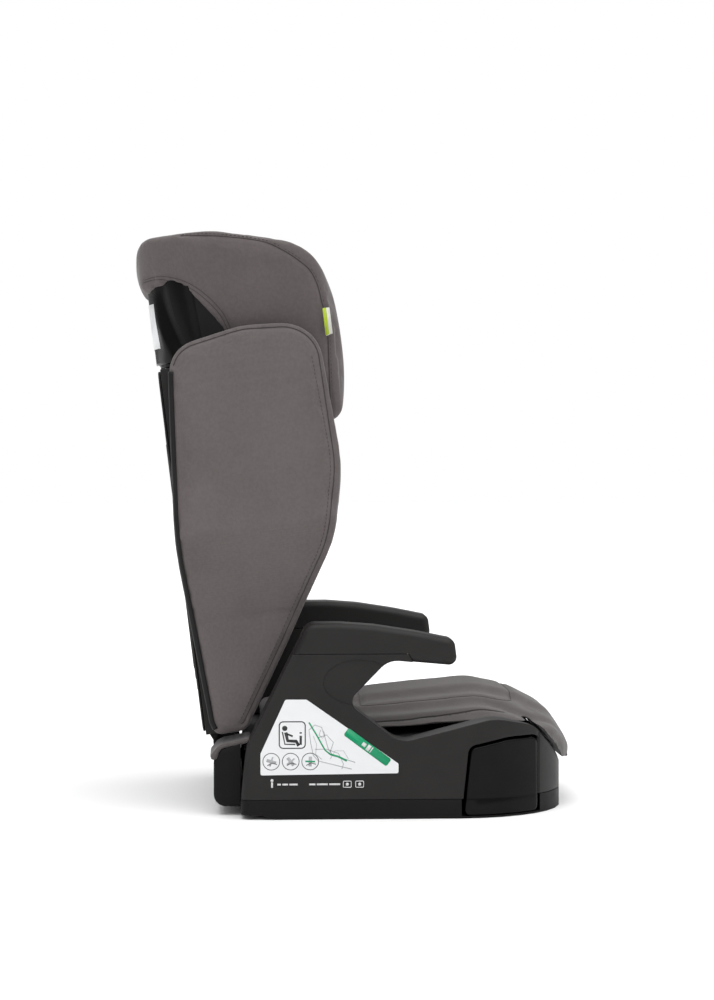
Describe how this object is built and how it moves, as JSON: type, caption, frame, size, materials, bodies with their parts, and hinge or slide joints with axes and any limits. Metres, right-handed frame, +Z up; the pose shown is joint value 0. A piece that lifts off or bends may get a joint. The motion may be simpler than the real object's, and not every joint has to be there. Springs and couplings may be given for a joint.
{
  "type": "booster seat",
  "caption": "High-back child booster seat: padded backrest with deep wings, height-adjustable headrest, moulded base with armrests and slide-out cup holders.",
  "frame": {"origin": "centre of the base's underside, on the plane the seat stands on", "axes": "+Z up, the child faces -Y, the child's right side is -X"},
  "size_m": [0.4448, 0.5163, 0.6677],
  "materials": {
    "shell_plastic": "fine moulded grain, satin black",
    "tray_plastic": "fine moulded grain, darker black",
    "gloss_plastic": "glossy black",
    "cover_fabric": "woven polyester, taupe grey",
    "head_fabric": "woven polyester, taupe grey",
    "foam": "open-cell foam",
    "steel": "zinc plated",
    "rubber": "soft matt rubber",
    "sticker": "printed white film",
    "guide_red": "red moulded plastic",
    "tag_green": "woven tag, lime green",
    "handle_grey": "dark grey moulded plastic"
  },
  "bodies": {
    "base": {"base_tray": "tray_plastic", "seat_pan": "tray_plastic", "hinge_block": "tray_plastic", "front_panel": "shell_plastic", "side_panel_right": "shell_plastic", "side_panel_left": "shell_plastic", "arm_cap_right": "shell_plastic", "arm_cap_left": "shell_plastic", "arm_liner_right": "shell_plastic", "arm_liner_left": "shell_plastic", "cup_guide_right": "tray_plastic", "cup_guide_left": "tray_plastic", "seat_foam": "foam", "seat_cushion": "cover_fabric", "cover_hem": "cover_fabric", "hinge_rod": "steel", "base_screws": "steel", "foot_pads": "rubber", "label_right": "sticker", "label_left": "sticker"},
    "back": {"back_shell": "shell_plastic", "back_cover": "shell_plastic", "rack_right": "tray_plastic", "rack_left": "tray_plastic", "back_screws": "steel", "wing_shell_right": "shell_plastic", "wing_shell_left": "shell_plastic", "wing_foam_right": "foam", "wing_foam_left": "foam", "wing_cover_right": "cover_fabric", "wing_cover_left": "cover_fabric", "wing_pad_right": "cover_fabric", "wing_pad_left": "cover_fabric", "back_pad": "cover_fabric"},
    "headrest": {"head_carriage": "shell_plastic", "head_shell": "gloss_plastic", "head_foam": "foam", "head_cover": "head_fabric", "head_pad": "head_fabric", "belt_guide_right": "guide_red", "belt_guide_left": "guide_red", "side_tag": "tag_green", "approval_label": "sticker", "head_screws": "steel", "return_spring": "steel"},
    "release": {"release_handle": "handle_grey", "cam_plate": "steel"},
    "bolt_right": {"latch_bolt_right": "steel"},
    "bolt_left": {"latch_bolt_left": "steel"},
    "cup_right": {"cup_holder_right": "gloss_plastic"},
    "cup_left": {"cup_holder_left": "gloss_plastic"}
  },
  "joints": [
    {"name": "back_recline", "type": "hinge", "parent": "base", "child": "back", "pos_m": [0, 0.19, 0.075], "axis": [-1, 0, 0], "range_deg": [0, 20]},
    {"name": "headrest_height", "type": "slide", "parent": "back", "child": "headrest", "axis": [0, 0.1219, 0.9925], "range_m": [0, 0.16]},
    {"name": "release_pull", "type": "slide", "parent": "headrest", "child": "release", "axis": [0, 0.1219, 0.9925], "range_m": [0, 0.008], "stiffness_N_per_m": 500, "springref_m": -0.01, "deforming": ["return_spring"]},
    {"name": "latch_right", "type": "slide", "parent": "headrest", "child": "bolt_right", "axis": [1, 0, 0], "range_m": [0, 0.006]},
    {"name": "latch_left", "type": "slide", "parent": "headrest", "child": "bolt_left", "axis": [-1, 0, 0], "range_m": [0, 0.006]},
    {"name": "cup_slide_right", "type": "slide", "parent": "base", "child": "cup_right", "axis": [-1, 0, 0], "range_m": [0, 0.08]},
    {"name": "cup_slide_left", "type": "slide", "parent": "base", "child": "cup_left", "axis": [1, 0, 0], "range_m": [0, 0.08]}
  ],
  "couplings": [
    {"joint": "latch_right", "follows": "release_pull", "ratio": 0.75},
    {"joint": "latch_left", "follows": "release_pull", "ratio": 0.75}
  ]
}
